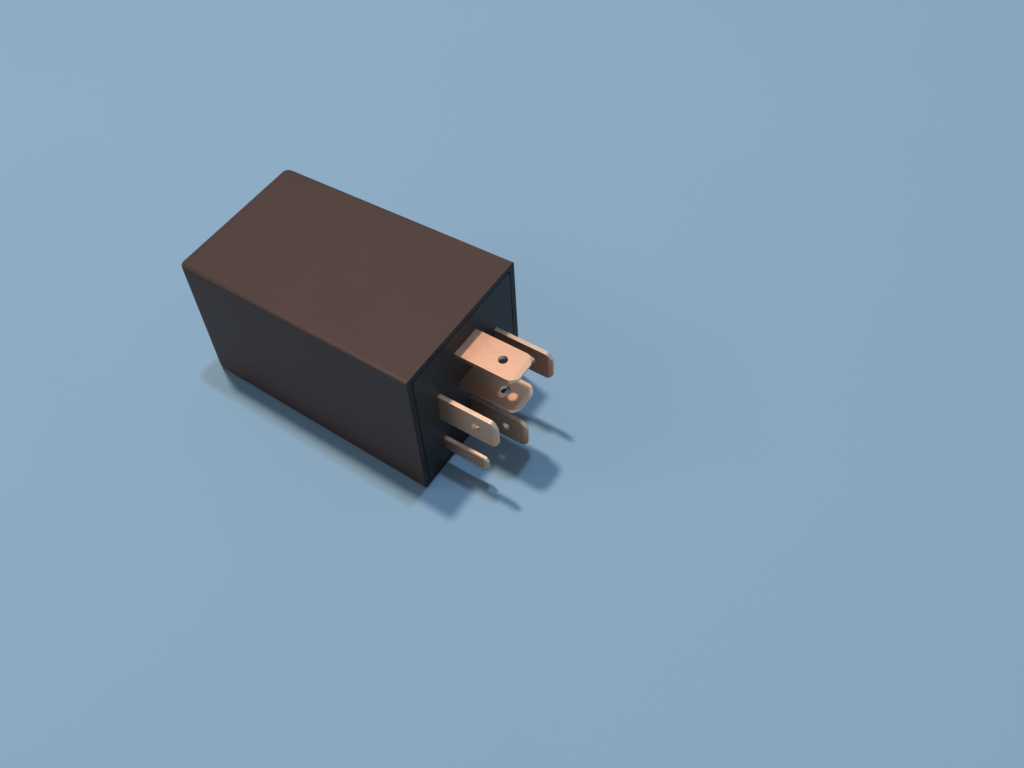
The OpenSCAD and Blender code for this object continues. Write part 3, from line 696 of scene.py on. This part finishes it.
# ---------------------------------------------------------------------------
# Circuit board: green glass laminate. The tracks are etched copper under the
# green lacquer on the back, and every lead is soldered to a pad there.
LAMINATE = (0.045, 0.17, 0.075, 1)
LAMINATE_DARK = (0.030, 0.13, 0.055, 1)
LAMINATE_EDGE = (0.34, 0.34, 0.20, 1)
TRACK_GREEN = (0.09, 0.27, 0.10, 1)
SOLDER = (0.66, 0.66, 0.65, 1)
WEAVE = 0.5 * MM
TRACK_T = 0.035 * MM
TRACK_W = 0.9 * MM
PAD_R = 0.95 * MM
PAD_STEPS = 20
LEAD_R = 0.32 * MM
FILLET_H = 0.42 * MM
FILLET_STEPS = 7
CLUMP_GAP = 0.35 * MM

board_low, board_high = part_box("circuit_board")
board_back, board_face = board_low.y, board_high.y


def laminate_finish():
    """Green lacquer over woven glass: two sines at right angles make the weave.

    The sawn edges, whose normals look away from Y, are bare and straw coloured.
    """
    material, start = new_finish("board_laminate")
    place = own_place(start)
    x, _, z = split(start, place)
    facing = split(start, start.node("ShaderNodeNewGeometry", output="Normal"))[1]
    sawn = start.math("LESS_THAN", abs(facing), 0.5)
    weave = start.math("SINE", x * (2 * math.pi / WEAVE)) * start.math(
        "SINE", z * (2 * math.pi / WEAVE)
    )
    cloud = noise(start, place, 6 * MM, 2.0)
    green = mixed(start, cloud * 0.8 + weave * 0.1, LAMINATE, LAMINATE_DARK)
    close_finish(
        start,
        {
            "Base Color": mixed(start, sawn, green, LAMINATE_EDGE),
            "Roughness": 0.28 + sawn * 0.4,
            "Normal": bumped(start, weave, 0.006 * MM, 0.4),
        },
    )
    return material


def track_finish():
    """Lacquered copper: the same green, paler where the copper lies under it."""
    material, start = new_finish("lacquered_track")
    cloud = noise(start, own_place(start), 2 * MM, 2.0)
    close_finish(
        start,
        {"Base Color": mixed(start, cloud, TRACK_GREEN, LAMINATE), "Roughness": 0.26},
    )
    return material


def solder_finish():
    """Frozen solder: bright, with a fine frost."""
    material, start = new_finish("solder")
    frost = noise(start, own_place(start), 0.25 * MM, 3.0)
    close_finish(
        start,
        {
            "Base Color": mixed(start, frost, SOLDER, TINNED_GREY),
            "Metallic": 1.0,
            "Roughness": 0.22 + frost * 0.16,
        },
    )
    return material


def clumps(values):
    """A number for each value, the same for values with no gap wider than CLUMP_GAP."""
    order = np.argsort(values)
    step = np.concatenate([[0], np.cumsum(np.diff(values[order]) > CLUMP_GAP)])
    numbers = np.empty(len(values), int)
    numbers[order] = step
    return numbers


def lead_ends(node):
    """The x, z centre of each lead of a node that stands out of the board's back.

    Its vertices behind the board are parted by gaps in X, and each part by gaps in Z.
    """
    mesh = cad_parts[node].data
    points = np.empty(len(mesh.vertices) * 3, np.float32)
    mesh.vertices.foreach_get("co", points)
    points = points.reshape(-1, 3).astype(float)
    points = points[points[:, 1] < board_back - 0.1 * MM]
    found = []
    columns = clumps(points[:, 0])
    for column in range(columns.max() + 1):
        stand = points[columns == column]
        rows = clumps(stand[:, 2])
        for row in range(rows.max() + 1):
            lead = stand[rows == row]
            low, high = lead.min(axis=0), lead.max(axis=0)
            found.append(((low + high) / 2)[[0, 2]])
    return found


def solder_joint(centre):
    """A fillet round a lead: its radius falls from the pad's to the lead's as (1 - h) cubed."""
    h = np.linspace(0, 1, FILLET_STEPS)
    radius = LEAD_R + (PAD_R - LEAD_R) * (1 - h) ** 3
    x, z = centre
    foot = (x, board_back - TRACK_T, z)
    profile = [(0, 0)] + list(zip(-FILLET_H * h, radius)) + [(-FILLET_H, 0)]
    return grid(revolved(foot, profile, 1, PAD_STEPS), turned=True)


def track(corners):
    """A flat copper strip of even width along x, z corners, TRACK_T thick.

    At each corner the strip's side is the path direction turned square, in the board's plane.
    """
    path = eased([(x, board_back, z) for x, z in corners], rounds=2)
    direction = np.gradient(path, axis=0)
    direction /= np.linalg.norm(direction, axis=1, keepdims=True)
    side = np.cross(direction, (0.0, 1.0, 0.0)) * TRACK_W / 2
    out = np.array((0.0, -TRACK_T, 0.0))
    rows = [path + side, path + side + out, path - side + out, path - side, path + side]
    return grid(np.stack(rows, axis=1))


PARTS_ON_BOARD = (
    "coil_switched_pin", "supply_link", "terminal_85", "signal_terminal", "timer_chip",
    "smoothing_capacitor", "timing_capacitor", "ceramic_capacitors", "small_resistors",
    "supply_resistor", "flyback_diode", "zener_diode", "driver_transistor",
)


def soldered_back():
    """Every lead's solder joint, and tracks that join each part's leads to the next part's.

    A track leaves a pad along X and turns at 45 degrees to reach the next pad.
    """
    leads = {node: lead_ends(node) for node in PARTS_ON_BOARD}
    joints = [solder_joint(centre) for centres in leads.values() for centre in centres]
    piece("solder_joints", joints, solder_finish(), "relay_body")
    routes = []
    for node, following in zip(PARTS_ON_BOARD, PARTS_ON_BOARD[1:]):
        a, b = min(
            ((p, q) for p in leads[node] for q in leads[following]),
            key=lambda pair: float(np.hypot(*(pair[0] - pair[1]))),
        )
        turn = min(abs(b[0] - a[0]), abs(b[1] - a[1]))
        knee = (b[0] - math.copysign(turn, b[0] - a[0]), b[1] - math.copysign(turn, b[1] - a[1]))
        routes.append(track([tuple(a), knee, tuple(b)]))
    piece("board_tracks", routes, track_finish(), "relay_body")


dress(laminate_finish(), "circuit_board")
soldered_back()

# ---------------------------------------------------------------------------
# Parts on the board: bought components, each moulded, dipped or lacquered over
# its own tinned leads, with plain colour rings or bands and no lettering.
EPOXY = (0.022, 0.022, 0.024, 1)
EPOXY_GREY = (0.040, 0.040, 0.042, 1)
SLEEVE = (0.035, 0.060, 0.19, 1)
SLEEVE_STRIPE = (0.52, 0.56, 0.62, 1)
ALUMINIUM = (0.72, 0.73, 0.74, 1)
RUBBER = (0.02, 0.02, 0.02, 1)
FILM_RED = (0.46, 0.035, 0.022, 1)
DISC_TAN = (0.52, 0.24, 0.06, 1)
BEIGE = (0.62, 0.47, 0.27, 1)
GREY_BLUE = (0.24, 0.32, 0.38, 1)
ORANGE_GLASS = (0.50, 0.15, 0.04, 1)
BROWN, BLACK, RED, GOLD, WHITE = (
    (0.13, 0.045, 0.020, 1),
    (0.015, 0.015, 0.015, 1),
    (0.40, 0.025, 0.015, 1),
    (0.48, 0.30, 0.06, 1),
    (0.75, 0.75, 0.73, 1),
)
STANDOFF = 0.3 * MM
RING_W = 0.55 * MM
CHIP_HALF_W = 3.21 * MM
CAN_RIM_W, CAN_TOP_H = 0.7 * MM, 0.5 * MM
CAN_STRIPE_FROM = 0.82
X_AXIS, Z_AXIS = 0, 2


def component_finish(name, colour, lead, gloss, metal=0.0):
    """A component's body and its tinned leads, parted by lead, which is 1 on the leads.

    colour is the body's colour, either one value or a wire. gloss is its roughness, and
    metal is 1 on bare metal of the body.
    """
    start = lead
    grain = noise(start, own_place(start), 0.3 * MM, 3.0)
    material = bpy.data.materials[name]
    close_finish(
        start,
        {
            "Base Color": mixed(start, lead, colour, TINNED),
            "Metallic": start.math("MAXIMUM", lead, metal),
            "Roughness": gloss + grain * 0.12,
            "Normal": bumped(start, grain, 0.006 * MM, 0.3),
        },
    )
    return material


def ringed(name, node, body_l, axis, colour, rings, gloss):
    """An axial part: its leads lie beyond body_l along the axis, and rings are painted on it.

    Each ring is (place from the middle, colour); a point is on it within half a ring's width.
    """
    start = new_finish(name)[1]
    low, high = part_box(node)
    middle = (low[axis] + high[axis]) / 2
    offset = split(start, own_place(start))[axis] - middle
    lead = start.math("GREATER_THAN", abs(offset), body_l / 2)
    paint = colour
    for place, ring_colour in rings:
        on_ring = start.math("LESS_THAN", abs(offset - place), RING_W / 2)
        paint = mixed(start, on_ring, paint, ring_colour)
    dress(component_finish(name, paint, lead, gloss), node)


def standing(name, node, colour, gloss, height=STANDOFF):
    """A part that stands on the board: below the height given above it are only leads."""
    start = new_finish(name)[1]
    above = split(start, own_place(start))[1] - board_face
    lead = start.math("LESS_THAN", above, height)
    dress(component_finish(name, colour, lead, gloss), node)


def chip_finish():
    """Black epoxy with tinned legs: a leg is beyond the body's width, or below the body."""
    start = new_finish("chip_epoxy")[1]
    low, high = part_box("timer_chip")
    y, z = split(start, own_place(start))[1:]
    beyond = start.math("GREATER_THAN", abs(z - (low.z + high.z) / 2), CHIP_HALF_W)
    below = start.math("LESS_THAN", y - board_face, STANDOFF)
    leg = start.math("MAXIMUM", beyond, below)
    cloud = noise(start, own_place(start), 1.5 * MM)
    body = mixed(start, cloud, EPOXY, EPOXY_GREY)
    dress(component_finish("chip_epoxy", body, leg, 0.46), "timer_chip")


def can_finish():
    """A shrunk blue sleeve with one pale stripe, a bare dished top and a rubber bung.

    The stripe is the side whose X from the can's axis is over that share of its radius.
    """
    start = new_finish("can_sleeve")[1]
    low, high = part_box("smoothing_capacitor")
    x, y, z = split(start, own_place(start))
    radius = (high.x - low.x) / 2
    across, up = x - (low.x + high.x) / 2, z - (low.z + high.z) / 2
    distance = start.math("SQRT", across * across + up * up)
    top = start.math("LESS_THAN", distance, radius - CAN_RIM_W) * start.math(
        "GREATER_THAN", y, high.y - CAN_TOP_H
    )
    stripe = start.math("GREATER_THAN", across, CAN_STRIPE_FROM * radius)
    bung = start.math("LESS_THAN", y - board_face, STANDOFF + 0.05 * MM)
    lead = start.math("LESS_THAN", y - board_face, STANDOFF - 0.02 * MM)
    body = mixed(start, stripe, SLEEVE, SLEEVE_STRIPE)
    body = mixed(start, bung, body, RUBBER)
    body = mixed(start, top, body, ALUMINIUM)
    dress(component_finish("can_sleeve", body, lead, 0.26, top), "smoothing_capacitor")


chip_finish()
can_finish()
standing("film_case", "timing_capacitor", FILM_RED, 0.24)
standing("disc_dip", "ceramic_capacitors", DISC_TAN, 0.34, 1.0 * MM)
standing("transistor_epoxy", "driver_transistor", EPOXY, 0.44, 1.2 * MM)
small_rings = [(-2.2 * MM, BROWN), (-1.1 * MM, BLACK), (0.0, RED), (2.0 * MM, GOLD)]
ringed("resistor_beige", "small_resistors", 6.3 * MM, Z_AXIS, BEIGE, small_rings, 0.34)
power_rings = [(-3.0 * MM, RED), (-1.6 * MM, RED), (-0.2 * MM, BROWN), (3.0 * MM, GOLD)]
ringed("resistor_grey", "supply_resistor", 9.0 * MM, X_AXIS, GREY_BLUE, power_rings, 0.40)
ringed("diode_epoxy", "flyback_diode", 5.2 * MM, Z_AXIS, EPOXY, [(1.8 * MM, WHITE)], 0.42)
ringed("diode_glass", "zener_diode", 4.0 * MM, X_AXIS, ORANGE_GLASS, [(1.3 * MM, BLACK)], 0.12)

# ---------------------------------------------------------------------------
# Cover: the deep black can, moulded in one piece with draft on its four long
# sides. The outside has a very fine eroded grain, and its edges carry a painted highlight.
CAN_BLACK = (0.062, 0.029, 0.021, 1)
CAN_BROWN = (0.075, 0.036, 0.026, 1)
# painted highlight: the paler brown mixed in along the cover's edges
PAINTED_EDGE_HIGHLIGHT = (0.19, 0.12, 0.075, 1)
EDGE_BAND = 0.6 * MM


def cover_finish():
    """Black nylon, cloudy at 6 mm, grained at 0.15 mm, with a painted highlight along the edges.

    A point is on an edge where two of its distances to the outside are within the band: the
    sides stand at half the width, less the draft, and the closed end at the lowest X. The
    rim, which looks along X, is painted as dark as the base: painted shade on the end face.
    """
    material, start = new_finish("cover_nylon")
    place = own_place(start)
    x, y, z = split(start, place)
    # painted shade: faces that look along X (the rim) are painted the base's black
    rim_painted_shade = start.math(
        "GREATER_THAN", split(start, start.node("ShaderNodeNewGeometry", output="Normal"))[0], 0.9
    )
    outside = x * math.tan(DRAFT) + cad_high.z
    near = [ramped(start, outside - abs(side), EDGE_BAND, 0.0) for side in (y, z)]
    end = ramped(start, x - cad_low.x, EDGE_BAND, 0.0)
    edge = start.math("MAXIMUM", near[0] * near[1], end * near[0])
    edge = start.math("MAXIMUM", edge, end * near[1])
    cloud = noise(start, place, 6 * MM, 3.0)
    highlight_breakup = noise(start, place, 0.8 * MM, 4.0)
    grain = noise(start, place, 0.15 * MM, 2.0)
    body = mixed(start, cloud, CAN_BLACK, CAN_BROWN)
    # painted highlight along the edges, broken up by noise
    body = mixed(start, edge * (0.45 + highlight_breakup * 0.4), body, PAINTED_EDGE_HIGHLIGHT)
    close_finish(
        start,
        {
            "Base Color": mixed(start, rim_painted_shade, body, BASE_BLACK),
            "Roughness": 0.52 + cloud * 0.10 - edge * 0.08,
            "Specular IOR Level": 0.35,
            "Normal": bumped(start, grain, 0.015 * MM, 0.55),
        },
    )
    return material


dress(cover_finish(), "cover")
